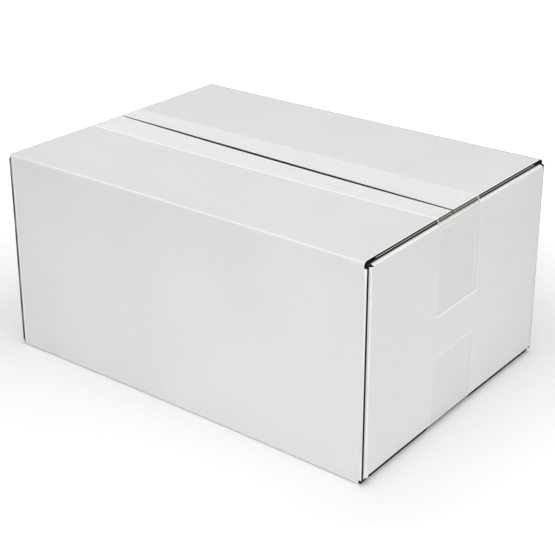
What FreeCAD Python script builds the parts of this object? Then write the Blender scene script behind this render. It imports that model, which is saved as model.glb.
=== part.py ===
import FreeCAD, Part
import math
import os

Vec = FreeCAD.Vector

# A regular slotted carton, folded from one sheet of corrugated board and taped shut.
# Lengths are in millimetres. X runs along the box, Y across it and Z up. The origin is on the
# floor under the middle of the box, and the glued corner is at +X, -Y.

# Outside size of the closed box, without its tape
box_length = 305.0
box_width = 220.0
box_height = 150.0

# Corrugated board: two flat liners with a fluted sheet between them
board = 3.0
liner = 0.35
flute_pitch = 6.5
flute_sheet = 0.3
flute_pocket = 6.0
end_flute_depth = 3.2
flute_edge = 0.5
crushed_edge = 9.0

# Creases, and the slots that part one flap from the next
fold_radius = 3.0
slot_width = 6.4
slot_drop = 4.0
flap_gap = 0.4
flap_side_gap = 0.5

# Where the long flaps meet: the seam's place across the box, and the gap between their edges
top_seam_left = 1.5
top_seam_right = -11.0
top_seam_gap = 1.6
bottom_seam_place = 0.0
bottom_seam_gap = 1.2

# End flaps, folded in before the long ones
end_flap_reach = 109.0

# Glued corner: the front panel's cut edge lies over a tab that is part of the right end panel
tab_width = 35.0
tab_trim = 7.0
tab_end_gap = 1.0
joint_setback = 0.8
joint_flute_mouth = 1.3
joint_flute_ends = 0.7
glue_bead = 0.2

# Clear packing tape, with the toothed ends that a dispenser leaves
tape_width = 51.0
tape_thickness = 0.08
top_tape_place = -4.5
top_tail_left = 62.0
top_tail_right = 68.0
bottom_tape_place = -5.0
bottom_tail_left = 60.0
bottom_tail_right = 55.0
tooth_pitch = 3.0
tooth_depth = 1.2

# Places that follow from the sizes
half_length = box_length / 2
half_width = box_width / 2
half_height = box_height / 2
end_flap_side = board + flap_side_gap
end_flap_half = half_width - end_flap_side
long_flap_half = half_length - (slot_width - end_flap_side)
end_fold_low = board + flap_gap
end_fold_high = box_height - board - flap_gap
tab_face = -half_width + board
glued_flap_edge = tab_face + end_flap_side
spare = 1.0


def prism(points, direction):
    """A solid swept from a flat outline of straight sides."""
    outline = Part.makePolygon([Vec(*p) for p in points + points[:1]])
    return Part.Face(outline).extrude(Vec(*direction))


def block(low, high):
    """A box between two corners."""
    size = [b - a for a, b in zip(low, high)]
    return Part.makeBox(*size, Vec(*low))


def line(a, b, place):
    """A straight edge between two points of a plane."""
    return Part.LineSegment(place(*a), place(*b)).toShape()


def arc(centre, radius, start, end, place):
    """An arc edge in a plane, between two angles in degrees."""
    angles = [math.radians(a) for a in (start, (start + end) / 2, end)]
    points = [place(centre[0] + radius * math.cos(a), centre[1] + radius * math.sin(a)) for a in angles]
    return Part.Arc(*points).toShape()


def folded_section(reach, low, high, place):
    """Section through a wall and its two flaps, with u measured in from the wall's outer face."""
    r = fold_radius
    edges = [
        line((reach, low), (r, low), place),
        arc((r, low + r), r, 270, 180, place),
        line((0, low + r), (0, high - r), place),
        arc((r, high - r), r, 180, 90, place),
        line((r, high), (reach, high), place),
        line((reach, high), (reach, high - board), place),
        line((reach, high - board), (board, high - board), place),
        line((board, high - board), (board, low + board), place),
        line((board, low + board), (reach, low + board), place),
        line((reach, low + board), (reach, low), place),
    ]
    return Part.Face(Part.Wire(edges))


def top_seam(x):
    """Middle of the gap between the upper long flaps, which runs a little out of square."""
    share = (x + half_length) / box_length
    return top_seam_left + (top_seam_right - top_seam_left) * share


def bottom_seam(x):
    """Middle of the gap between the lower long flaps, which runs straight along the box."""
    return bottom_seam_place


def beyond_free_edge(side, seam, gap, low, high):
    """All that lies past the free edge of a long flap, between two heights."""
    far = -side * (half_width + spare)
    reach = half_length + spare
    edge = side * gap / 2
    corners = [
        (-reach, seam(-reach) + edge, low),
        (reach, seam(reach) + edge, low),
        (reach, far, low),
        (-reach, far, low),
    ]
    return prism(corners, (0, 0, high - low))


def long_panel(side):
    """Front wall (side -1) or back wall (side 1) with its upper and lower flaps."""
    def place(u, z):
        return Vec(-long_flap_half, side * (half_width - u), z)

    section = folded_section(box_width, 0, box_height, place)
    panel = section.extrude(Vec(2 * long_flap_half, 0, 0))
    above = beyond_free_edge(side, top_seam, top_seam_gap, half_height, box_height + spare)
    below = beyond_free_edge(side, bottom_seam, bottom_seam_gap, -spare, half_height)
    return panel.cut([above, below])


def end_flap_front(side):
    """Front edge of an end wall's flaps: the right wall's crease lies a board in, behind the front panel."""
    return glued_flap_edge if side > 0 else -end_flap_half


def end_panel(side):
    """Left (side -1) or right (side 1) end wall, whose two flaps lie just inside the long ones."""
    front = end_flap_front(side)

    def place(u, z):
        return Vec(side * (half_length - u), front, z)

    section = folded_section(end_flap_reach, end_fold_low, end_fold_high, place)
    return section.extrude(Vec(0, end_flap_half - front, 0))


def wall_outline():
    """Plan of the walls' outer faces: three folded corners, and the glued one with its groove."""
    r = fold_radius
    cut_edge = half_length - joint_setback
    bead_x = half_length - r + math.sqrt(r * r - (r - glue_bead) ** 2)
    bead_angle = math.degrees(math.asin((glue_bead - r) / r))

    def place(x, y):
        return Vec(x, y, slot_drop)

    edges = [
        line((-half_length + r, -half_width), (cut_edge, -half_width), place),
        line((cut_edge, -half_width), (cut_edge, tab_face), place),
        line((cut_edge, tab_face), (bead_x, tab_face), place),
        line((bead_x, tab_face), (bead_x, tab_face + glue_bead), place),
        arc((half_length - r, tab_face + r), r, bead_angle, 0, place),
        line((half_length, tab_face + r), (half_length, half_width - r), place),
        arc((half_length - r, half_width - r), r, 0, 90, place),
        line((half_length - r, half_width), (-half_length + r, half_width), place),
        arc((-half_length + r, half_width - r), r, 90, 180, place),
        line((-half_length, half_width - r), (-half_length, -half_width + r), place),
        arc((-half_length + r, -half_width + r), r, 180, 270, place),
    ]
    return Part.Face(Part.Wire(edges))


def wall_ring():
    """The four walls up to the floors of the slots, lowered where the end flaps fold in."""
    outside = wall_outline().extrude(Vec(0, 0, box_height - 2 * slot_drop))
    inside = block(
        (-half_length + board, -half_width + board, 0),
        (half_length - board, half_width - board, box_height),
    )
    reach = half_length + spare
    cuts = [inside]
    for low, high in ((0, end_fold_low + fold_radius), (end_fold_high - fold_radius, box_height)):
        cuts.append(block((-reach, end_flap_front(-1), low), (0, end_flap_half, high)))
        cuts.append(block((0, end_flap_front(1), low), (reach, end_flap_half, high)))
    return outside.cut(cuts)


def glue_tab():
    """The tab glued inside the front panel, with its corners trimmed off."""
    crease = half_length - board
    free = half_length - tab_width
    low = end_fold_low + board + tab_end_gap
    high = end_fold_high - board - tab_end_gap
    corners = [
        (crease, tab_face, low),
        (crease, tab_face, high),
        (free, tab_face, high - tab_trim),
        (free, tab_face, low + tab_trim),
    ]
    return prism(corners, (0, board, 0))


def flute_pockets(side, seam, gap, floor):
    """Open flutes in a long flap's free edge: one under and one over the fluted sheet in each pitch."""
    low = floor + liner
    high = floor + board - liner
    half = flute_pitch / 2
    base = half - flute_sheet
    count = int(2 * (long_flap_half - flute_pitch) / flute_pitch)
    overrun = gap / 4
    inward = (0, side * (flute_pocket + overrun), 0)
    pockets = []
    for i in range(count):
        x = (i - count / 2) * flute_pitch
        mouth = seam(x) + side * overrun
        under = [(x - base, mouth, low), (x + base, mouth, low), (x, mouth, high - flute_sheet)]
        x += half
        over = [(x - base, mouth, high), (x, mouth, low + flute_sheet), (x + base, mouth, high)]
        pockets += [prism(under, inward), prism(over, inward)]
    return pockets


def end_flutes(floor):
    """The flute laid open along both ends of the long flaps: a hollow over the fluted sheet, and one under."""
    low = floor + liner
    high = floor + board - liner
    sheet_low = (low + high - flute_edge) / 2
    sheet_high = (low + high + flute_edge) / 2
    reach = half_width - fold_radius - crushed_edge
    hollows = []
    for side in (-1, 1):
        rim = side * long_flap_half
        outside = rim + side * spare
        root = rim - side * end_flute_depth
        halfway = (rim + root) / 2
        over = [
            (outside, -reach, high),
            (outside, -reach, sheet_high),
            (rim, -reach, sheet_high),
            (halfway, -reach, low + flute_sheet),
            (root, -reach, sheet_high),
            (root, -reach, high),
        ]
        under = [
            (outside, -reach, low),
            (outside, -reach, sheet_low),
            (rim, -reach, sheet_low),
            (halfway, -reach, low),
        ]
        hollows += [prism(over, (0, 2 * reach, 0)), prism(under, (0, 2 * reach, 0))]
    return hollows


def corner_room(side_x, side_y, level, near, far):
    """A block between two corners, each given as x, the way in from a long wall and from lid or bottom."""
    corners = []
    for x, u, w in (near, far):
        corners.append((side_x * x, side_y * (half_width - u), half_height + level * (half_height - w)))
    low = [min(places) for places in zip(*corners)]
    high = [max(places) for places in zip(*corners)]
    return block(low, high)


def crushed_flute(side_x, side_y, level):
    """The same flute where the crease crushed its sheet: round the fold and down into the slot's floor."""
    r = fold_radius
    full = board - liner
    rim = long_flap_half
    root = rim - end_flute_depth
    outside = rim + spare

    def room(near, far):
        return corner_room(side_x, side_y, level, near, far)

    flap = room((root, r, liner), (outside, r + crushed_edge, full))
    wall = room((root, liner, r), (outside, full, slot_drop))
    pocket = room((root, liner, slot_drop), (rim, full, slot_drop + flute_pocket))
    centre = (side_x * root, side_y * (half_width - r), half_height + level * (half_height - r))
    bend = Part.makeCylinder(r - liner, end_flute_depth + spare, Vec(*centre), Vec(side_x, 0, 0))
    fold = room((root, liner, liner), (outside, r, r)).common(bend)
    return [flap, wall, pocket, fold.cut(room((root, full, full), (outside, r, r)))]


def joint_flute():
    """The flute laid open down the front panel's cut edge at the glued corner, widest halfway up."""
    mouth = half_length - joint_setback + spare
    skin = -half_width + liner
    low = slot_drop - spare
    high = box_height - low

    def place(y, z):
        return Vec(mouth, y, z)

    wide = Part.Arc(
        place(skin + joint_flute_ends, high),
        place(skin + joint_flute_mouth, half_height),
        place(skin + joint_flute_ends, low),
    )
    edges = [
        line((skin, low), (skin, high), place),
        line((skin, high), (skin + joint_flute_ends, high), place),
        wide.toShape(),
        line((skin + joint_flute_ends, low), (skin, low), place),
    ]
    return Part.Face(Part.Wire(edges)).extrude(Vec(-spare - end_flute_depth, 0, 0))


def slot_flute(centre, near, far):
    """A flute laid open in the floors of both slots at a corner, between two points of its plan."""
    bore = fold_radius - liner
    depth = flute_pocket + spare
    (x_low, x_high), (y_low, y_high) = [sorted(pair) for pair in zip(near, far)]
    holes = []
    for low in (slot_drop - spare, box_height - slot_drop - flute_pocket):
        room = block((x_low, y_low, low), (x_high, y_high, low + depth))
        holes.append(room.common(Part.makeCylinder(bore, depth, Vec(*centre, low))))
    return holes


def slot_flutes():
    """The flutes that show in the slots' floors: one in each corner's crease, and one in the tab's."""
    crease_x = half_length - fold_radius
    crease_y = half_width - fold_radius
    near_x = long_flap_half + flute_sheet
    near_y = half_width - board + liner
    holes = []
    for side_x in (-1, 1):
        for side_y in (-1, 1):
            setback = joint_setback if side_x > 0 and side_y < 0 else 0
            near = (side_x * near_x, side_y * near_y)
            far = (side_x * (half_length - setback - liner), side_y * (half_width - liner))
            holes += slot_flute((side_x * crease_x, side_y * crease_y), near, far)
    near = (half_length - board + liner, tab_face + liner)
    far = (half_length - liner, glued_flap_edge - flute_sheet)
    holes += slot_flute((crease_x, tab_face + fold_radius), near, far)
    return holes


def carton():
    """The folded and glued blank, as one solid."""
    pieces = [long_panel(-1), long_panel(1), end_panel(-1), end_panel(1), glue_tab()]
    blank = wall_ring().fuse(pieces).removeSplitter()
    top_floor = box_height - board
    cuts = end_flutes(0) + end_flutes(top_floor) + slot_flutes() + [joint_flute()]
    for side_x in (-1, 1):
        for side_y in (-1, 1):
            cuts += crushed_flute(side_x, side_y, -1) + crushed_flute(side_x, side_y, 1)
    for side in (-1, 1):
        cuts += flute_pockets(side, bottom_seam, bottom_seam_gap, 0)
        cuts += flute_pockets(side, top_seam, top_seam_gap, top_floor)
    return blank.cut(cuts)


def tape_run(tail, offset, place):
    """One face of the tape over half the box: up the end panel, round its crease and over the flap's rim."""
    r = fold_radius
    rim = (long_flap_half, half_height)
    centre = (half_length - r, end_fold_high - r - half_height)
    rise = (rim[0] - centre[0], rim[1] - centre[1])
    lean = math.degrees(math.atan2(rise[1], rise[0]) - math.acos(r / math.hypot(*rise)))
    normal = (math.cos(math.radians(lean)), math.sin(math.radians(lean)))
    leave = tuple(c + (r + offset) * n for c, n in zip(centre, normal))
    meet = tuple(c + offset * n for c, n in zip(rim, normal))
    edges = [
        line((half_length + offset, half_height - tail), (half_length + offset, centre[1]), place),
        arc(centre, r + offset, 0, lean, place),
        line(leave, meet, place),
    ]
    if offset:
        edges.append(arc(rim, offset, lean, 90, place))
    edges.append(line((rim[0], rim[1] + offset), (0, rim[1] + offset), place))
    return edges


def tape_teeth(side, level, tail, y_low):
    """What the dispenser's blade takes off the end of a tail: all below a line of teeth."""
    tip = half_height + level * (half_height - tail)
    root = tip + level * tooth_depth
    below = tip - level * (tooth_depth + spare)
    teeth = round(tape_width / tooth_pitch)
    step = tape_width / teeth
    x = side * half_length - spare
    points = [(x, y_low - spare, below), (x, y_low - spare, root), (x, y_low, root)]
    for i in range(teeth):
        points.append((x, y_low + (i + 0.5) * step, tip))
        points.append((x, y_low + (i + 1) * step, root))
    points += [(x, y_low + tape_width + spare, root), (x, y_low + tape_width + spare, below)]
    return prism(points, (2 * spare, 0, 0))


def tape(level, middle, tail_left, tail_right):
    """A length of tape over the upper (level 1) or lower (level -1) seam and down or up both ends."""
    y_low = middle - tape_width / 2
    edges = []
    for side, tail in ((-1, tail_left), (1, tail_right)):
        def place(u, w):
            return Vec(side * u, y_low, half_height + level * w)

        end = half_height - tail
        edges += tape_run(tail, 0, place) + tape_run(tail, tape_thickness, place)
        edges.append(line((half_length, end), (half_length + tape_thickness, end), place))
    section = Part.Face(Part.Wire(Part.__sortEdges__(edges)))
    band = section.extrude(Vec(0, tape_width, 0))
    ends = [tape_teeth(-1, level, tail_left, y_low), tape_teeth(1, level, tail_right, y_low)]
    return band.cut(ends).removeSplitter()


def main():
    nodes = {
        "carton": carton(),
        "top_tape": tape(1, top_tape_place, top_tail_left, top_tail_right),
        "bottom_tape": tape(-1, bottom_tape_place, bottom_tail_left, bottom_tail_right),
    }
    os.makedirs("parts", exist_ok=True)
    for name, shape in nodes.items():
        # the lower tape's underside is what rests on the floor
        shape.translate(Vec(0, 0, tape_thickness))
        solids = shape.Solids
        box = shape.BoundBox
        size = [round(length, 2) for length in (box.XLength, box.YLength, box.ZLength)]
        print(name, "solids", len(solids), "valid", shape.isValid(), "volume", round(shape.Volume, 2))
        print("    size", size, "from z", round(box.ZMin, 3))
        solids[0].exportStep("parts/" + name + ".step")


main()
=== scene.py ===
import math

import bmesh
import bpy
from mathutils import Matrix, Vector, noise


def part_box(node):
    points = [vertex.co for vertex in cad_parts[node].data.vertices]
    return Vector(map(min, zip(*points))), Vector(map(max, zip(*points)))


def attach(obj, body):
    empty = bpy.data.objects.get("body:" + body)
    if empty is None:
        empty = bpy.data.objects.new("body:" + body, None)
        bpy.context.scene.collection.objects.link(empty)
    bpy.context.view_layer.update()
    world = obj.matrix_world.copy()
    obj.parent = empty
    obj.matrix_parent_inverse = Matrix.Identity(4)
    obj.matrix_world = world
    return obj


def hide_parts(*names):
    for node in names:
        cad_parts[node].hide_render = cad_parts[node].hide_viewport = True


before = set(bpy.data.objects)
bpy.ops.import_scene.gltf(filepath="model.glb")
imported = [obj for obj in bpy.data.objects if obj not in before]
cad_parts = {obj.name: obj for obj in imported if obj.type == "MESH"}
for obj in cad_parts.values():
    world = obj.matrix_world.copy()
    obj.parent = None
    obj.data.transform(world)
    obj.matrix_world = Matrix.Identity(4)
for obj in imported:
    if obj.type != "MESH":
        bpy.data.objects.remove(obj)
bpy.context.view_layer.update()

# A white shipping carton, folded from one sheet of corrugated board and closed with clear tape.
# Lengths are in metres. X runs along the box, Y across it and Z up.

MM = 0.001
MERGE = 0.002 * MM

# The board and its creases
BOARD = 3.0 * MM
LINER = 0.35 * MM
FOLD_RADIUS = 3.0 * MM
FOLD_STEPS = 8
FLUTE_PITCH = 6.5 * MM
FLUTE_POCKET = 6.0 * MM
FLUTE_EDGE = 0.5 * MM
END_FLAP_DROP = 3.4 * MM
SLOT_DROP = 4.0 * MM
SLOT_REACH = 7.0 * MM
JOINT_SETBACK = 0.8 * MM
JOINT_FLUTE = 1.3 * MM
# Width of the strip of painted shade beside the glued corner's open flute
JOINT_SHADE_STRIP = 0.5 * MM
RIM_INSET = 2.9 * MM
GRID_STEP = 12.0 * MM
RADIUS_SLACK = 1.02

# Painted shade in the opened flutes and on cut edges: the depth in millimetres where it is full, how it
# starts and grows on the seam's lip, and how far down the glued corner it deepens
DEEP_SHADE = 0.25
LIP_SHADE = 0.08 * MM
LIP_SLOPE = 0.5
JOINT_FADE = 60.0 * MM

# Cuts that keep the marks on the creases narrow: an axis, and a place on it in millimetres
CREASE_STRIPS = (("x", -148.8), ("x", -148.1), ("x", -146.8), ("x", 148.4), ("x", 149.9), ("y", 105.8))

# Where painted highlight and painted shade lie along the creases, for folds that catch or turn from the
# light: from and to, in millimetres in from each side of the box (end is the nearer of left and right),
# then how strong the painted highlight and the painted shade are. The first that fits holds.
# FACE is a limit just outside the box, so that the face itself is taken in.
FACE = -1.0
CREASE = FOLD_RADIUS / MM + 0.05
END_FOLD = END_FLAP_DROP / MM
CREASE_MARKS = (
    ({"left": (0.3, CREASE), "front": (FACE, 1.6)}, 0.0, 1.0),
    ({"left": (0.3, CREASE), "front": (FACE, 2.3), "top": (FACE, CREASE)}, 0.0, 1.0),
    ({"left": (FACE, CREASE + 0.7), "front": (FACE, 0.1)}, 0.0, 1.0),
    ({"left": (FACE, CREASE + 1.4), "front": (FACE, 0.1)}, 0.9, 0.0),
    ({"left": (FACE, CREASE), "top": (FACE, 0.1)}, 0.0, 0.5),
    ({"right": (FACE, CREASE), "top": (FACE, 0.1)}, 0.9, 0.0),
    ({"right": (FACE, 0.6), "back": (FACE, CREASE)}, 0.0, 0.5),
    ({"back": (FACE, CREASE), "top": (FACE, 0.6)}, 0.0, 0.25),
    ({"front": (0.5, 1.2), "top": (0.6, 1.25)}, 0.7, 0.0),
    ({"front": (0.2, 1.4), "foot": (0.8, 2.0)}, 0.8, 0.0),
    ({"end": (0.4, 2.6), "top": (END_FOLD, END_FOLD + 0.9)}, 1.0, 0.0),
    ({"end": (FACE, 1.2), "foot": (END_FOLD + 0.4, END_FOLD + 2.2)}, 0.8, 0.0),
    ({"right": (FACE, 1.0), "front": (FACE, 0.1)}, 1.0, 0.0),
    ({"right": (FACE, 1.0), "front": (3.0, 4.8)}, 1.0, 0.0),
)

# Where the upper long flaps meet, at the left end and at the right end of the box
SEAM_LEFT = 1.5 * MM
SEAM_RIGHT = -11.0 * MM
SEAM_GAP = 1.6 * MM

# How the empty box has settled: walls bowed in between the corners, flaps sagging and parting, and the
# seam pinched at the left end
FRONT_BOW = 1.3 * MM
BACK_BOW = 0.9 * MM
MID_BOW = 0.5 * MM
END_BOW = 0.5 * MM
SEAM_SPREAD = 0.85 * MM
SEAM_PINCH = 0.4 * MM
LID_SAG = 0.5 * MM
LID_DROP = 0.18 * MM
HANDLING = 0.12 * MM
HANDLING_SIZE = 70.0 * MM
HANDLING_SEED = 1

# Clear packing tape
TAPE_WIDTH = 51.0 * MM
FILM = 0.055 * MM
FILM_TOP = 0.075 * MM
TOOTH_DEPTH = 1.2 * MM
TEETH = 17
TOOTH_COLUMNS = 4
TORN_EDGE = 0.5 * MM
TOP_TAPE_PLACE = -4.5 * MM
TOP_TAIL_LEFT = 62.0 * MM
TOP_TAIL_RIGHT = 68.0 * MM
BOTTOM_TAPE_PLACE = -5.0 * MM
BOTTOM_TAIL_LEFT = 60.0 * MM
BOTTOM_TAIL_RIGHT = 55.0 * MM

# How the film stands off the board: folds by the left and right rims, long blisters on the lid, streaks
# down the ends, a dip in the seam, and how much a lifted place whitens, partly air under the film and
# partly a painted highlight
LEFT_FOLDS = 0.16 * MM
RIGHT_FOLDS = 0.11 * MM
RIM_REACH = 15.0 * MM
BLISTERS = 0.12 * MM
STREAKS = 0.28 * MM
SEAM_DIP = 0.05 * MM
SEAM_REACH = 1.8 * MM
EDGE_LIFT = 1.3

# How strongly the film's edges show: its torn ends, its sides, and the strips just inside them. The lid
# tape's front side shows over a few columns. Their white is partly whitened film and partly a painted
# highlight.
TOP_TORN = 1.0
BOTTOM_TORN = 0.8
INSIDE_TORN = 0.7
LID_SIDE = 0.9
END_SIDE = 0.7
INSIDE_SIDE = 0.6
FRONT_COLUMNS = 3

# Angles in degrees from which an edge of the board or the film stays sharp
BOARD_SHARP = 33
FILM_SHARP = 50

# Colours of the board and of the tape's sticky face
LINER_TONES = (0.735, 0.735, 0.738), (0.765, 0.765, 0.765)
LINER_FIBRE = (0.70, 0.70, 0.70)
LINER_RUBBED = (0.50, 0.46, 0.40)
LINER_PAINTED_SHADE = (0.02, 0.018, 0.013)
LINER_PAINTED_HIGHLIGHT = (0.96, 0.96, 0.95)
KRAFT_TONES = (0.46, 0.40, 0.32), (0.64, 0.58, 0.49)
KRAFT_CLOUD = (0.70, 0.64, 0.55)
KRAFT_SHADE = (0.018, 0.015, 0.012)
ADHESIVE_TONES = (0.56, 0.52, 0.34), (0.64, 0.62, 0.50)
# Film edges: partly whitened film, partly a painted highlight where the edges catch the light
FILM_EDGE_AND_GLINT = (0.87, 0.87, 0.85)
TORN_FILM_AND_GLINT = (0.97, 0.97, 0.96)

# The camera stands where the photograph was taken from
LENS = 83.85
SENSOR = 36.0
SHIFT_DOWN = -0.1441
CAMERA_PLACE = (0.5201, -0.6702, 0.4543)
CAMERA_TURN = 37.687
CAMERA_DIP = 21.571

# The white floor's own glow, seen but not lighting anything: from a distance to a distance, low to high
NEAR_LIFT = (0.22, 0.38, 0.06, 0.36)
FAR_LIFT = (0.35, 0.70, 0.0, 0.13)
FLOOR_COLOUR = (0.90, 0.90, 0.90, 1)
FLOOR_SIZE = 4.0
ROOM_LIGHT = 0.45

# Soft boxes: name, place, the place it points at, width, height and power in watts
LAMPS = (
    ("overhead", (0.1, -0.2, 1.6), (0, 0, 0.1), 1.4, 1.4, 11.3),
    ("back_soft_box", (-1.06, 1.37, 0.93), (0, 0, 0.15), 1.2, 1.2, 1.6),
    ("right_soft_box", (1.2, -0.3, 0.6), (0.1, 0, 0.08), 0.8, 0.8, 2.6),
    ("near_soft_box", (0.55, -0.85, 0.3), (0.1, -0.08, 0.05), 0.5, 0.5, 0.5),
    ("front_soft_box", (-0.4, -1.6, 1.0), (0, 0, 0.05), 1.2, 1.2, 3.35),
    ("front_card", (0.14, -0.42, 0.04), (0.08, -0.11, 0.0), 0.16, 0.16, 0.12),
    ("right_card", (0.42, -0.03, 0.04), (0.1525, -0.01, 0.0), 0.12, 0.12, 0.055),
    ("front_strip", (0, -0.24, 0.02), (0, -0.11, 0.03), 0.36, 0.03, 0.018),
    ("right_strip", (0.28, 0, 0.02), (0.1525, 0, 0.03), 0.26, 0.03, 0.010),
)

# Places read from the frame
BOARD_LOW, BOARD_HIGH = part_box("carton")
HALF_LENGTH = BOARD_HIGH.x
HALF_WIDTH = BOARD_HIGH.y
HALF_HEIGHT = (BOARD_HIGH.z - BOARD_LOW.z) / 2
MIDDLE = Vector((0, 0, BOARD_LOW.z + HALF_HEIGHT))
RIM = HALF_LENGTH - RIM_INSET


def bow(share):
    """A smooth arch, 1 in the middle and 0 at both ends (share -1 and 1)."""
    return max(0.0, 1 - share * share)


def seam_place(x):
    """Middle of the gap between the upper long flaps."""
    share = (x + HALF_LENGTH) / (2 * HALF_LENGTH)
    return SEAM_LEFT + (SEAM_RIGHT - SEAM_LEFT) * share


def settle(point):
    """Where a point of the square-cornered box lies once the empty box has been taped and handled."""
    along = point.x / HALF_LENGTH
    across = point.y / HALF_WIDTH
    height = (point.z - MIDDLE.z) / HALF_HEIGHT
    arch = bow(along)
    extra = MID_BOW * bow(height)
    seam = seam_place(point.x)
    from_seam = point.y - seam
    spread = SEAM_SPREAD * arch - SEAM_PINCH * max(0.0, -along) ** 6
    part = max(-1.0, min(1.0, from_seam / (SEAM_GAP / 2))) * spread
    if from_seam < 0:
        share = max(0.0, min(1.0, -from_seam / (HALF_WIDTH + seam)))
        shift_y = part * (1 - share) + (FRONT_BOW + extra) * share * arch
    else:
        share = max(0.0, min(1.0, from_seam / (HALF_WIDTH - seam)))
        shift_y = part * (1 - share) - (BACK_BOW + extra) * share * arch
    shift_x = -END_BOW * along * abs(along) * bow(across)
    lid = max(0.0, height) ** 4
    shift_z = -lid * (LID_DROP + LID_SAG * arch * bow(across))
    wander = noise.noise_vector(point / HANDLING_SIZE) * HANDLING
    wander.z *= bow(height)
    return point + Vector((shift_x, shift_y, shift_z)) + wander


def keep_inside(point, low, high):
    """The point, brought back to the carton's own corners where handling pushed it past them."""
    return Vector([max(a, min(b, p)) for a, b, p in zip(low, high, point)])


def new_piece(name, bm, materials):
    """A finished mesh as an object at the origin."""
    mesh = bpy.data.meshes.new(name)
    bm.to_mesh(mesh)
    bm.free()
    piece = bpy.data.objects.new(name, mesh)
    bpy.context.scene.collection.objects.link(piece)
    for material in materials:
        mesh.materials.append(material)
    return piece


def cut_across(bm, faces, place, normal):
    """Cuts some faces, and the edges that they share with others, along a plane."""
    geometry = set(faces)
    for face in faces:
        geometry.update(face.edges)
        geometry.update(face.verts)
    bmesh.ops.bisect_plane(bm, geom=list(geometry), dist=MERGE, plane_co=place, plane_no=normal)


def round_crease(bm, centre, axis, outward_a, outward_b, half_run):
    """Cuts a crease's few facets into finer ones and sets them on its true radius."""
    def in_crease(co):
        a = (co - centre).dot(outward_a)
        b = (co - centre).dot(outward_b)
        if abs((co - MIDDLE).dot(axis)) > half_run:
            return False
        return a > -MERGE and b > -MERGE and 0.9 < math.hypot(a, b) / FOLD_RADIUS < RADIUS_SLACK

    for step in range(1, FOLD_STEPS):
        angle = math.pi / 2 * step / FOLD_STEPS
        normal = outward_a * -math.sin(angle) + outward_b * math.cos(angle)
        faces = [f for f in bm.faces if all(in_crease(v.co) for v in f.verts)]
        cut_across(bm, faces, centre, normal)
    for vert in bm.verts:
        if not in_crease(vert.co):
            continue
        flat = vert.co - centre
        run = axis * flat.dot(axis)
        spoke = flat - run
        vert.co = centre + run + spoke.normalized() * FOLD_RADIUS


def steps(low, high, pitch):
    """Evenly spaced places between two ends, with neither end."""
    count = max(1, round((high - low) / pitch))
    return [low + (high - low) * i / count for i in range(1, count)]


def crease_lines():
    """Centre, axis, the two outward directions and half the run of each rounded crease of the box."""
    x, y, z = Vector((1, 0, 0)), Vector((0, 1, 0)), Vector((0, 0, 1))
    r = FOLD_RADIUS
    creases = []
    for up in (-1, 1):
        for side in (-1, 1):
            centre = MIDDLE + y * side * (HALF_WIDTH - r) + z * up * (HALF_HEIGHT - r)
            creases.append((centre, x, y * side, z * up, HALF_LENGTH))
            centre = MIDDLE + x * side * (HALF_LENGTH - r) + z * up * (HALF_HEIGHT - END_FLAP_DROP - r)
            creases.append((centre, y, x * side, z * up, HALF_WIDTH - r))
    for side_x, side_y in ((-1, -1), (-1, 1), (1, 1)):
        centre = MIDDLE + x * side_x * (HALF_LENGTH - r) + y * side_y * (HALF_WIDTH - r)
        creases.append((centre, z, x * side_x, y * side_y, HALF_HEIGHT - r - MERGE))
    glued = MIDDLE + x * (HALF_LENGTH - r) + y * (BOARD + r - HALF_WIDTH)
    creases.append((glued, z, x, -y, HALF_HEIGHT - r - MERGE))
    return creases


def on_outer_crease(co, normal):
    """True on the rounded outside of one of the creases."""
    for centre, axis, outward_a, outward_b, _ in crease_lines():
        spoke = co - centre
        spoke -= axis * spoke.dot(axis)
        if min(spoke.dot(outward_a), spoke.dot(outward_b)) < -MERGE:
            continue
        near = 0.95 < spoke.length / FOLD_RADIUS < RADIUS_SLACK
        if near and spoke.normalized().dot(normal) > 0.9:
            return True
    return False


def is_white(face):
    """True for the board's bleached outside, and for the cut edges of its outer liner."""
    co = face.calc_center_median()
    n = face.normal
    offset = co - MIDDLE
    gaps = [half - abs(p) for half, p in zip((HALF_LENGTH, HALF_WIDTH, HALF_HEIGHT), offset)]
    outward = [n[i] * offset[i] > 0.9 * abs(offset[i]) for i in range(3)]
    if any(out and gap < LINER / 2 for out, gap in zip(outward, gaps)):
        return True
    on_joint = outward[0] and abs(gaps[0] - JOINT_SETBACK) < LINER / 2
    glued_edge = on_joint and LINER + JOINT_FLUTE + JOINT_SHADE_STRIP < gaps[1] < BOARD
    return glued_edge or on_outer_crease(co, n)


def part_joint(bm):
    """Cuts the glued corner's edge along its length, where the strip of painted shade beside its open
    flute ends.
    """
    plane = HALF_LENGTH - JOINT_SETBACK
    on_edge = [abs(f.normal.x) > 0.9 and abs(f.calc_center_median().x - plane) < MERGE for f in bm.faces]
    faces = [face for face, chosen in zip(bm.faces, on_edge) if chosen]
    crushed = Vector((0, LINER + JOINT_FLUTE + JOINT_SHADE_STRIP - HALF_WIDTH, 0))
    cut_across(bm, faces, crushed, Vector((0, 1, 0)))


def mark_blank(bm):
    """Lays the flat blank's own measure over the board: across the flutes, and along them."""
    layer = bm.loops.layers.uv.new("blank")
    for face in bm.faces:
        co = face.calc_center_median()
        on_end = abs(face.normal.x) > 0.7
        under = HALF_HEIGHT - abs(co.z - MIDDLE.z) > BOARD and abs(face.normal.z) > 0.7
        for loop in face.loops:
            p = loop.vert.co
            if on_end:
                loop[layer].uv = (p.y, p.z)
            elif under:
                loop[layer].uv = (p.y, p.x)
            elif abs(face.normal.z) > 0.7:
                loop[layer].uv = (p.x, p.y)
            else:
                loop[layer].uv = (p.x, p.z)


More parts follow.
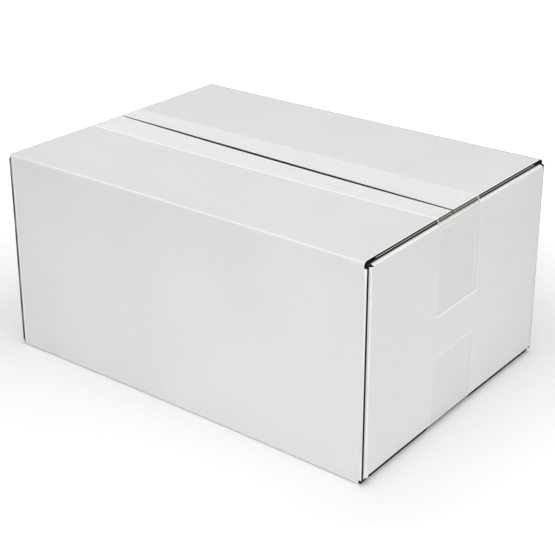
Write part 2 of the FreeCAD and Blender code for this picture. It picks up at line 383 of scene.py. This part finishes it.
def painted_shade_depth(co):
    """How deep a point lies in painted shade, in millimetres: its depth inside an opened flute from the
    nearest mouth, full on the rim's inner liner edges and in the slots, and set apart on the seam's lip
    and down the glued corner.
    """
    gap_x = HALF_LENGTH - abs(co.x)
    gap_y = HALF_WIDTH - abs(co.y)
    gap_z = HALF_HEIGHT - abs(co.z - MIDDLE.z)
    from_rim = RIM - abs(co.x)
    ways = []
    if from_rim >= 0 and (gap_z < BOARD or gap_z < SLOT_DROP + FLUTE_POCKET and gap_y < BOARD):
        ways.append(from_rim)
    if gap_z < BOARD:
        upper = co.z > MIDDLE.z
        from_seam = abs(co.y - (seam_place(co.x) if upper else 0)) - SEAM_GAP / 2
        # painted shade on the far flap's lip in the seam, growing with depth below the lid
        below_lid = LIP_SHADE + LIP_SLOPE * gap_z if from_seam < 0.1 * MM and upper else 0
        ways.append(max(from_seam, below_lid))
    in_slot = gap_x < HALF_LENGTH - RIM + LINER and gap_y < SLOT_REACH
    at_rim = abs(from_rim) < LINER and gap_z < BOARD + LINER
    fluted_edge = co.z > MIDDLE.z and abs(gap_z - BOARD / 2) < FLUTE_EDGE
    # painted shade: the rim's liner edges and the slots are painted fully dark
    if at_rim and not fluted_edge or in_slot and gap_z > LINER:
        return DEEP_SHADE
    # painted shade down the glued corner's flute and the strip beside it, lighter near the top
    on_joint = co.x > 0 and co.y < 0 and gap_y < LINER + JOINT_FLUTE + 1.1 * JOINT_SHADE_STRIP
    if on_joint and gap_z > SLOT_DROP / 2:
        below_top = HALF_HEIGHT - (co.z - MIDDLE.z)
        least = DEEP_SHADE * min(1.0, 0.4 + below_top / JOINT_FADE) * MM
        ways = [max(gap_x - JOINT_SETBACK, least)]
    return max(0.0, min(ways, default=0.0)) / MM


def crease_tones(co):
    """How much painted highlight and how much painted shade the liner carries at a point, each from 0 to
    1.
    """
    inward = {
        "left": (HALF_LENGTH + co.x) / MM,
        "right": (HALF_LENGTH - co.x) / MM,
        "front": (HALF_WIDTH + co.y) / MM,
        "back": (HALF_WIDTH - co.y) / MM,
        "top": (HALF_HEIGHT - co.z + MIDDLE.z) / MM,
        "foot": (HALF_HEIGHT + co.z - MIDDLE.z) / MM,
    }
    inward["end"] = min(inward["left"], inward["right"])
    for limits, painted_crease_highlight, painted_crease_shade in CREASE_MARKS:
        if all(low <= inward[side] < high for side, (low, high) in limits.items()):
            return painted_crease_highlight, painted_crease_shade
    return 0.0, 0.0


def mark_creases(bm):
    """Stores how much painted highlight and painted shade each crease carries, for the liner's colour."""
    painted_crease_highlight = bm.verts.layers.float.new("painted_crease_highlight")
    painted_crease_shade = bm.verts.layers.float.new("painted_crease_shade")
    for vert in bm.verts:
        vert[painted_crease_highlight], vert[painted_crease_shade] = crease_tones(vert.co)


def mark_painted_shade(bm):
    """Stores each point's depth in painted shade, which darkens the brown paper in the flutes and on the
    cut edges.
    """
    layer = bm.verts.layers.float.new("hollow_shade")
    for vert in bm.verts:
        vert[layer] = painted_shade_depth(vert.co)


def mark_wear(bm):
    """How near each point is to a corner or an edge that rubs, from 0 to 1."""
    layer = bm.verts.layers.float.new("wear")
    for vert in bm.verts:
        gaps = sorted([
            HALF_LENGTH - abs(vert.co.x),
            HALF_WIDTH - abs(vert.co.y),
            HALF_HEIGHT - abs(vert.co.z - MIDDLE.z),
        ])
        edge = math.exp(-max(0.0, gaps[1]) / (2.5 * MM))
        corner = math.exp(-max(0.0, gaps[2]) / (14 * MM))
        vert[layer] = edge * (0.35 + 0.65 * corner)


def carton_board(materials):
    """The folded board: the frame's carton with round creases, cut fine enough to settle."""
    bm = bmesh.new()
    bm.from_mesh(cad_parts["carton"].data)
    bmesh.ops.remove_doubles(bm, verts=bm.verts, dist=MERGE)
    for crease in crease_lines():
        round_crease(bm, *crease)
    bm.normal_update()
    part_joint(bm)
    for axis, place in CREASE_STRIPS:
        normal = Vector([float(axis == name) for name in "xyz"])
        cut_across(bm, list(bm.faces), normal * place * MM, normal)
    for axis, low, high in zip("xyz", BOARD_LOW, BOARD_HIGH):
        normal = Vector([float(axis == name) for name in "xyz"])
        for place in steps(low, high, GRID_STEP):
            cut_across(bm, list(bm.faces), normal * place, normal)
    bmesh.ops.triangulate(bm, faces=[f for f in bm.faces if len(f.verts) > 4])
    bm.normal_update()
    for face in bm.faces:
        face.material_index = 0 if is_white(face) else 1
        face.smooth = True
    mark_blank(bm)
    mark_wear(bm)
    mark_creases(bm)
    mark_painted_shade(bm)
    for edge in bm.edges:
        edge.smooth = edge.is_manifold and edge.calc_face_angle() < math.radians(BOARD_SHARP)
    for vert in bm.verts:
        vert.co = keep_inside(settle(vert.co), BOARD_LOW, BOARD_HIGH)
    return new_piece("folded_board", bm, materials)


def wrap_lines():
    """The tape's way over half the box, from the middle of the lid: its corners and the arc's lean."""
    centre = Vector((HALF_LENGTH - FOLD_RADIUS, HALF_HEIGHT - END_FLAP_DROP - FOLD_RADIUS))
    rim = Vector((RIM, HALF_HEIGHT))
    rise = rim - centre
    lean = math.atan2(rise.y, rise.x) - math.acos(FOLD_RADIUS / rise.length)
    return centre, rim, lean


def wrap_point(s, offset):
    """A point of the tape's way, s along it from the middle of the lid and offset out from the board."""
    centre, rim, lean = wrap_lines()
    leave = centre + Vector((math.cos(lean), math.sin(lean))) * FOLD_RADIUS
    tent = (leave - rim).length
    turn = FOLD_RADIUS * lean
    bend = 0.4 * MM
    if s < rim.x:
        base = Vector((s, rim.y))
        angle = math.pi / 2
        if s > rim.x - bend:
            angle = math.pi / 2 + (lean - math.pi / 2) * (s - rim.x + bend) / bend
    elif s < rim.x + tent:
        base = rim.lerp(leave, (s - rim.x) / tent)
        angle = lean
    elif s < rim.x + tent + turn:
        angle = lean * (1 - (s - rim.x - tent) / turn)
        base = centre + Vector((math.cos(angle), math.sin(angle))) * FOLD_RADIUS
    else:
        base = Vector((HALF_LENGTH, centre.y - (s - rim.x - tent - turn)))
        angle = 0.0
    return base + Vector((math.cos(angle), math.sin(angle))) * offset


def wrap_reach(tail):
    """How far along its way the tape runs, for a tail that comes so far down the end panel."""
    centre, rim, lean = wrap_lines()
    leave = centre + Vector((math.cos(lean), math.sin(lean))) * FOLD_RADIUS
    return rim.x + (leave - rim).length + FOLD_RADIUS * lean + centre.y - (HALF_HEIGHT - tail)


def tape_stations(tail):
    """Places along half the tape, close together where it bends and at its toothed end."""
    end = wrap_reach(tail)
    near, far = RIM - 2 * MM, RIM + 6 * MM
    flat = [0.0] + steps(0.0, near, 2.5 * MM)
    bends = [near] + steps(near, far, 0.25 * MM)
    root = end - TOOTH_DEPTH - TORN_EDGE
    return flat + bends + [far] + steps(far, root - TORN_EDGE, 2.5 * MM) + [root - TORN_EDGE, root, end]


def film_lift(s, y, level):
    """How far the film stands off the board: folds at the rims, streaks down the tails, long blisters."""
    past_rim = abs(s) - RIM
    if past_rim < 0 and level < 0:
        return 0.0
    if past_rim < 0:
        near_rim = math.exp(-(past_rim / RIM_REACH) ** 2)
        wander = 1.3 * noise.noise(Vector((s, y, level * HALF_LENGTH)) / (13 * MM))
        fold = max(0.0, math.sin(2 * math.pi * (y / (10 * MM) + s / (26 * MM) + wander)))
        blister = max(0.0, noise.noise(Vector((s / (34 * MM), y / (8 * MM), 3))) - 0.1)
        folds = RIGHT_FOLDS if s > 0 else LEFT_FOLDS
        return folds * near_rim * fold ** 2 + BLISTERS * blister - SEAM_DIP * film_sunk(s, y)
    down_tail = 1 - math.exp(-past_rim / (6 * MM))
    streak = max(0.0, noise.noise(Vector((s / (55 * MM), y / (3.0 * MM), 7 * level))) - 0.12)
    return STREAKS * streak * down_tail


def film_sunk(s, y):
    """1 where the upper film is drawn down into the seam and mirrors nothing, 0 beside it."""
    if abs(s) > RIM:
        return 0.0
    return math.exp(-((y - seam_place(s)) / SEAM_REACH) ** 6)


def film_cloud(s, level):
    """How cloudy the adhesive is: most where the upper tape was pulled down over the ends."""
    if level < 0:
        return 0.35
    return 0.15 + 0.85 / (1 + math.exp(-(abs(s) - RIM) / (2 * MM)))


def film_edge(row, rows, column, columns, level, on_lid):
    """How strongly the film's edge shows at a point, from 0 to 1, as whitened film and partly a painted
    highlight.
    """
    from_end = min(row, rows - row)
    from_side = min(column, columns - column)
    torn = {0: TOP_TORN if level > 0 else BOTTOM_TORN, 1: INSIDE_TORN}.get(from_end, 0.0)
    side = {0: LID_SIDE if on_lid else END_SIDE, 1: INSIDE_SIDE}.get(from_side, 0.0)
    if on_lid and column < FRONT_COLUMNS:
        side = LID_SIDE
    return max(torn, side)


def tape_film(name, level, middle, tail_left, tail_right, materials):
    """A length of tape laid over the lid (level 1) or the bottom (level -1) and along both end panels."""
    left = [-s for s in reversed(tape_stations(tail_left))]
    stations = left[:-1] + tape_stations(tail_right)
    columns = TOOTH_COLUMNS * TEETH
    rows = len(stations) - 1
    bm = bmesh.new()
    bmesh.ops.create_grid(bm, x_segments=rows, y_segments=columns, size=0.5)
    edge_layer = bm.verts.layers.float.new("edge")
    cloud_layer = bm.verts.layers.float.new("cloud")
    sunk_layer = bm.verts.layers.float.new("sunk")
    for vert in bm.verts:
        row = round((vert.co.x + 0.5) * rows)
        column = round((vert.co.y + 0.5) * columns)
        s = stations[row]
        if row in (0, rows):
            from_tip = abs(column % TOOTH_COLUMNS - TOOTH_COLUMNS / 2) / (TOOTH_COLUMNS / 2)
            s -= math.copysign(TOOTH_DEPTH * from_tip, s)
        y = middle + TAPE_WIDTH * (column / columns - 0.5)
        lift = film_lift(s, y, level)
        edge = film_edge(row, rows, column, columns, level, level > 0 and abs(s) < RIM)
        # lifted places whiten, partly air under the film and partly a painted highlight
        vert[edge_layer] = max(edge, EDGE_LIFT * lift / MM)
        vert[cloud_layer] = film_cloud(s, level)
        vert[sunk_layer] = film_sunk(s, y)
        x, z = wrap_point(abs(s), FILM_TOP + lift)
        square = MIDDLE + Vector((math.copysign(x, s), y, level * z))
        vert.co = settle(square)
    bm.normal_update()
    outward = sum((f.normal.z * f.calc_area() for f in bm.faces), 0.0) * level
    if outward < 0:
        bmesh.ops.reverse_faces(bm, faces=bm.faces)
    glossy = set(bm.faces)
    bmesh.ops.solidify(bm, geom=list(bm.faces), thickness=FILM)
    for face in bm.faces:
        face.smooth = True
        face.material_index = 0 if face in glossy else 1
    for edge in bm.edges:
        edge.smooth = edge.calc_face_angle(0.0) < math.radians(FILM_SHARP)
    return new_piece(name, bm, materials)


def start_material(name):
    """A new node material and what is needed to wire it."""
    material = bpy.data.materials.new(name)
    material.use_nodes = True
    tree = material.node_tree
    return material, tree.nodes, tree.links, tree.nodes["Principled BSDF"]


def object_place(nodes):
    """The piece's own coordinates."""
    return nodes.new("ShaderNodeTexCoord").outputs["Object"]


def add_stretch(nodes, links, coordinates, scale):
    """Coordinates whose patterns are drawn out along the axes with a small scale."""
    node = nodes.new("ShaderNodeMapping")
    node.inputs["Scale"].default_value = scale
    links.new(coordinates, node.inputs["Vector"])
    return node.outputs["Vector"]


def add_attribute(nodes, name):
    """A value stored on the piece's points."""
    node = nodes.new("ShaderNodeAttribute")
    node.attribute_name = name
    return node.outputs["Fac"]


def add_noise(nodes, links, coordinates, scale, detail, roughness=0.5):
    """A noise pattern on the given coordinates."""
    pattern = nodes.new("ShaderNodeTexNoise")
    pattern.inputs["Scale"].default_value = scale
    pattern.inputs["Detail"].default_value = detail
    pattern.inputs["Roughness"].default_value = roughness
    links.new(coordinates, pattern.inputs["Vector"])
    return pattern.outputs["Fac"]


def add_range(nodes, links, value, low, high, to_low, to_high):
    """A value brought from one range to another, and held inside it."""
    node = nodes.new("ShaderNodeMapRange")
    for socket, number in (("From Min", low), ("From Max", high), ("To Min", to_low), ("To Max", to_high)):
        node.inputs[socket].default_value = number
    links.new(value, node.inputs["Value"])
    return node.outputs["Result"]


def add_math(nodes, links, operation, first, second):
    """Two values combined; a plain number may stand for the second."""
    node = nodes.new("ShaderNodeMath")
    node.operation = operation
    links.new(first, node.inputs[0])
    if isinstance(second, (int, float)):
        node.inputs[1].default_value = second
    else:
        links.new(second, node.inputs[1])
    return node.outputs["Value"]


def add_mix(nodes, links, share, first, second):
    """Two colours mixed by a value; a plain colour may stand for either."""
    node = nodes.new("ShaderNodeMix")
    node.data_type = "RGBA"
    links.new(share, node.inputs["Factor"])
    for socket, colour in ((node.inputs[6], first), (node.inputs[7], second)):
        if isinstance(colour, tuple):
            socket.default_value = (*colour, 1)
        else:
            links.new(colour, socket)
    return node.outputs[2]


def add_bump(nodes, links, shader, height, distance):
    """Fine relief from a height pattern."""
    node = nodes.new("ShaderNodeBump")
    node.inputs["Distance"].default_value = distance
    links.new(height, node.inputs["Height"])
    links.new(node.outputs["Normal"], shader.inputs["Normal"])


def flute_ripple(nodes, links):
    """Waves across the flat blank, one to each flute."""
    blank = nodes.new("ShaderNodeUVMap")
    blank.uv_map = "blank"
    split = nodes.new("ShaderNodeSeparateXYZ")
    links.new(blank.outputs["UV"], split.inputs["Vector"])
    phase = add_math(nodes, links, "MULTIPLY", split.outputs["X"], 2 * math.pi / FLUTE_PITCH)
    flutes = add_math(nodes, links, "SINE", phase, 0.0)
    return add_math(nodes, links, "MULTIPLY", flutes, 0.12)


def white_liner():
    """Bleached outer liner: fine paper grain, faint mottle, flutes just showing through, rubbed corners,
    and painted shade and highlight along the creases.
    """
    material, nodes, links, shader = start_material("white_liner")
    place = object_place(nodes)
    grain = add_noise(nodes, links, place, 1500, 3)
    mottle = add_noise(nodes, links, place, 16, 2)
    patch = add_noise(nodes, links, place, 220, 4, 0.7)
    ragged = add_noise(nodes, links, add_stretch(nodes, links, place, (1.0, 1.0, 0.25)), 240, 3)

    tone = add_range(nodes, links, mottle, 0.3, 0.7, 0.0, 1.0)
    colour = add_mix(nodes, links, tone, *LINER_TONES)
    fibre = add_range(nodes, links, grain, 0.35, 0.75, 0.0, 0.35)
    colour = add_mix(nodes, links, fibre, colour, LINER_FIBRE)
    rubbed = add_range(nodes, links, patch, 0.45, 0.7, 0, 0.5)
    rubbed = add_math(nodes, links, "MULTIPLY", add_attribute(nodes, "wear"), rubbed)
    colour = add_mix(nodes, links, rubbed, colour, LINER_RUBBED)
    # painted shade: dark lines along the creases that turn away from the light, broken up by a ragged
    # pattern
    painted_crease_shade = add_range(nodes, links, ragged, 0.3, 0.55, 0.75, 1.0)
    painted_crease_shade = add_math(nodes, links, "MULTIPLY", add_attribute(nodes, "painted_crease_shade"), painted_crease_shade)
    colour = add_mix(nodes, links, painted_crease_shade, colour, LINER_PAINTED_SHADE)
    # painted highlight: bright lines along the creases that catch the light
    painted_crease_highlight = add_range(nodes, links, ragged, 0.25, 0.6, 0.6, 1.0)
    painted_crease_highlight = add_math(nodes, links, "MULTIPLY", add_attribute(nodes, "painted_crease_highlight"), painted_crease_highlight)
    colour = add_mix(nodes, links, painted_crease_highlight, colour, LINER_PAINTED_HIGHLIGHT)
    links.new(colour, shader.inputs["Base Color"])
    links.new(add_range(nodes, links, grain, 0.3, 0.7, 0.52, 0.66), shader.inputs["Roughness"])
    shader.inputs["Specular IOR Level"].default_value = 0.3
    grain_height = add_math(nodes, links, "MULTIPLY", grain, 0.35)
    height = add_math(nodes, links, "ADD", flute_ripple(nodes, links), grain_height)
    add_bump(nodes, links, shader, height, 0.05 * MM)
    return material


def kraft_inside():
    """Unbleached inner liner and flutes: brown, fibrous, with darker and lighter threads, and painted
    shade in the flutes and on cut edges.
    """
    material, nodes, links, shader = start_material("kraft_inside")
    place = object_place(nodes)
    thread = add_noise(nodes, links, add_stretch(nodes, links, place, (0.35, 1.0, 1.0)), 900, 6, 0.65)
    cloud = add_noise(nodes, links, place, 45, 3)
    share = add_range(nodes, links, thread, 0.3, 0.7, 0.0, 1.0)
    colour = add_mix(nodes, links, share, *KRAFT_TONES)
    share = add_range(nodes, links, cloud, 0.4, 0.65, 0.0, 0.3)
    colour = add_mix(nodes, links, share, colour, KRAFT_CLOUD)
    # painted shade: the brown paper darkens towards KRAFT_SHADE with the stored shade depth
    share = add_range(nodes, links, add_attribute(nodes, "hollow_shade"), 0.0, DEEP_SHADE, 0.0, 1.0)
    colour = add_mix(nodes, links, share, colour, KRAFT_SHADE)
    links.new(colour, shader.inputs["Base Color"])
    links.new(add_range(nodes, links, thread, 0.3, 0.7, 0.75, 0.9), shader.inputs["Roughness"])
    shader.inputs["Specular IOR Level"].default_value = 0.25
    add_bump(nodes, links, shader, thread, 0.06 * MM)
    return material


def clear_film():
    """The tape's glossy outer face: nearly all light passes, and more mirrors off it at a slant."""
    material, nodes, links, shader = start_material("clear_film")
    streaked = add_stretch(nodes, links, object_place(nodes), (0.08, 1.0, 0.08))
    streak = add_noise(nodes, links, streaked, 500, 2)
    shader.inputs["Base Color"].default_value = (1, 1, 1, 1)
    shader.inputs["Metallic"].default_value = 1.0
    links.new(add_range(nodes, links, streak, 0.3, 0.7, 0.10, 0.20), shader.inputs["Roughness"])
    slant = nodes.new("ShaderNodeLayerWeight")
    slant.inputs["Blend"].default_value = 0.5
    steep = add_math(nodes, links, "POWER", slant.outputs["Facing"], 5.0)
    mirror = add_range(nodes, links, steep, 0, 1, 0.04, 0.9)
    clear = add_range(nodes, links, add_attribute(nodes, "sunk"), 0, 1, 1.0, 0.05)
    links.new(add_math(nodes, links, "MULTIPLY", mirror, clear), shader.inputs["Alpha"])
    add_bump(nodes, links, shader, streak, 0.03 * MM)
    return material


def tape_adhesive():
    """The tape's sticky face: clear, a little yellow, cloudy where it holds the paper less well, and white
    at its edges and where it lifts, partly a painted highlight.
    """
    material, nodes, links, shader = start_material("tape_adhesive")
    patch = add_noise(nodes, links, object_place(nodes), 60, 4, 0.6)
    edge = add_attribute(nodes, "edge")
    share = add_range(nodes, links, patch, 0.4, 0.6, 0.0, 1.0)
    colour = add_mix(nodes, links, share, *ADHESIVE_TONES)
    # white at the film's edges and lifted places: partly whitened film, partly a painted highlight
    share = add_range(nodes, links, edge, 0.0, 0.4, 0.0, 1.0)
    colour = add_mix(nodes, links, share, colour, FILM_EDGE_AND_GLINT)
    share = add_range(nodes, links, edge, 0.7, 0.9, 0.0, 1.0)
    colour = add_mix(nodes, links, share, colour, TORN_FILM_AND_GLINT)
    links.new(colour, shader.inputs["Base Color"])
    haze = add_range(nodes, links, patch, 0.35, 0.65, 0.06, 0.10)
    haze = add_math(nodes, links, "MULTIPLY", haze, add_attribute(nodes, "cloud"))
    clear = add_range(nodes, links, add_attribute(nodes, "sunk"), 0, 1, 1.0, 0.1)
    haze = add_math(nodes, links, "MULTIPLY", haze, clear)
    soft = add_math(nodes, links, "MULTIPLY", edge, 0.5)
    full = add_range(nodes, links, edge, 0.4, 0.65, 0.0, 0.96)
    bright = add_math(nodes, links, "MAXIMUM", soft, full)
    links.new(add_math(nodes, links, "MAXIMUM", haze, bright), shader.inputs["Alpha"])
    shader.inputs["Roughness"].default_value = 0.6
    return material


def showing_rays(nodes, links):
    """1 for rays that show the surroundings (camera, reflection, glass), 0 for those that light things."""
    path = nodes.new("ShaderNodeLightPath")
    seen = add_math(nodes, links, "MAXIMUM", path.outputs["Is Camera Ray"], path.outputs["Is Glossy Ray"])
    return add_math(nodes, links, "MAXIMUM", seen, path.outputs["Is Transmission Ray"])


def studio_floor():
    """Plain pale floor that reads as white and keeps the box's soft shadow."""
    bm = bmesh.new()
    bmesh.ops.create_grid(bm, x_segments=1, y_segments=1, size=FLOOR_SIZE)
    material, nodes, links, shader = start_material("floor_paper")
    shader.inputs["Base Color"].default_value = FLOOR_COLOUR
    shader.inputs["Roughness"].default_value = 0.9
    shader.inputs["Specular IOR Level"].default_value = 0.0
    shader.inputs["Emission Color"].default_value = (1, 1, 1, 1)
    away = nodes.new("ShaderNodeVectorMath")
    away.operation = "LENGTH"
    links.new(object_place(nodes), away.inputs[0])
    near = add_range(nodes, links, away.outputs["Value"], *NEAR_LIFT)
    far = add_range(nodes, links, away.outputs["Value"], *FAR_LIFT)
    lift = add_math(nodes, links, "ADD", near, far)
    glow = add_math(nodes, links, "MULTIPLY", showing_rays(nodes, links), lift)
    links.new(glow, shader.inputs["Emission Strength"])
    floor = new_piece("studio_floor", bm, [material])


def studio_world():
    """White surroundings that also light the box evenly."""
    world = bpy.data.worlds.new("white_room")
    bpy.context.scene.world = world
    world.use_nodes = True
    nodes, links = world.node_tree.nodes, world.node_tree.links
    background = nodes["Background"]
    background.inputs["Color"].default_value = (1, 1, 1, 1)
    seen = showing_rays(nodes, links)
    links.new(add_range(nodes, links, seen, 0, 1, ROOM_LIGHT, 1.0), background.inputs["Strength"])


def studio_lamp(name, place, aim, width, height, power):
    """A soft box pointed at a place."""
    light = bpy.data.lights.new(name, "AREA")
    light.shape = "RECTANGLE"
    light.size = width
    light.size_y = height
    light.energy = power
    lamp = bpy.data.objects.new(name, light)
    lamp.location = place
    lamp.rotation_euler = (Vector(aim) - Vector(place)).to_track_quat("-Z", "Y").to_euler()
    bpy.context.scene.collection.objects.link(lamp)


def studio_camera():
    """Camera at the photograph's angle, with its frame shifted down as there."""
    camera = bpy.data.cameras.new("camera")
    camera.lens = LENS
    camera.sensor_width = SENSOR
    camera.shift_y = SHIFT_DOWN
    holder = bpy.data.objects.new("camera", camera)
    holder.location = CAMERA_PLACE
    holder.rotation_euler = (math.radians(90 - CAMERA_DIP), 0, math.radians(CAMERA_TURN))
    bpy.context.scene.collection.objects.link(holder)
    bpy.context.scene.camera = holder


def box_pieces():
    """The board and its two tapes, each standing for its node of the frame."""
    board = carton_board([white_liner(), kraft_inside()])
    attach(board, "root")
    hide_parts("carton")
    film = [clear_film(), tape_adhesive()]
    tapes = [
        ("top_film", "top_tape", 1, TOP_TAPE_PLACE, TOP_TAIL_LEFT, TOP_TAIL_RIGHT),
        ("bottom_film", "bottom_tape", -1, BOTTOM_TAPE_PLACE, BOTTOM_TAIL_LEFT, BOTTOM_TAIL_RIGHT),
    ]
    for name, node, level, middle, tail_left, tail_right in tapes:
        piece = tape_film(name, level, middle, tail_left, tail_right, film)
        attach(piece, "root")
        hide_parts(node)


def main():
    """The dressed box in its white studio."""
    noise.seed_set(HANDLING_SEED)
    box_pieces()
    studio_floor()
    studio_world()
    for lamp in LAMPS:
        studio_lamp(*lamp)
    studio_camera()
    bpy.context.scene.view_settings.view_transform = "Standard"


main()
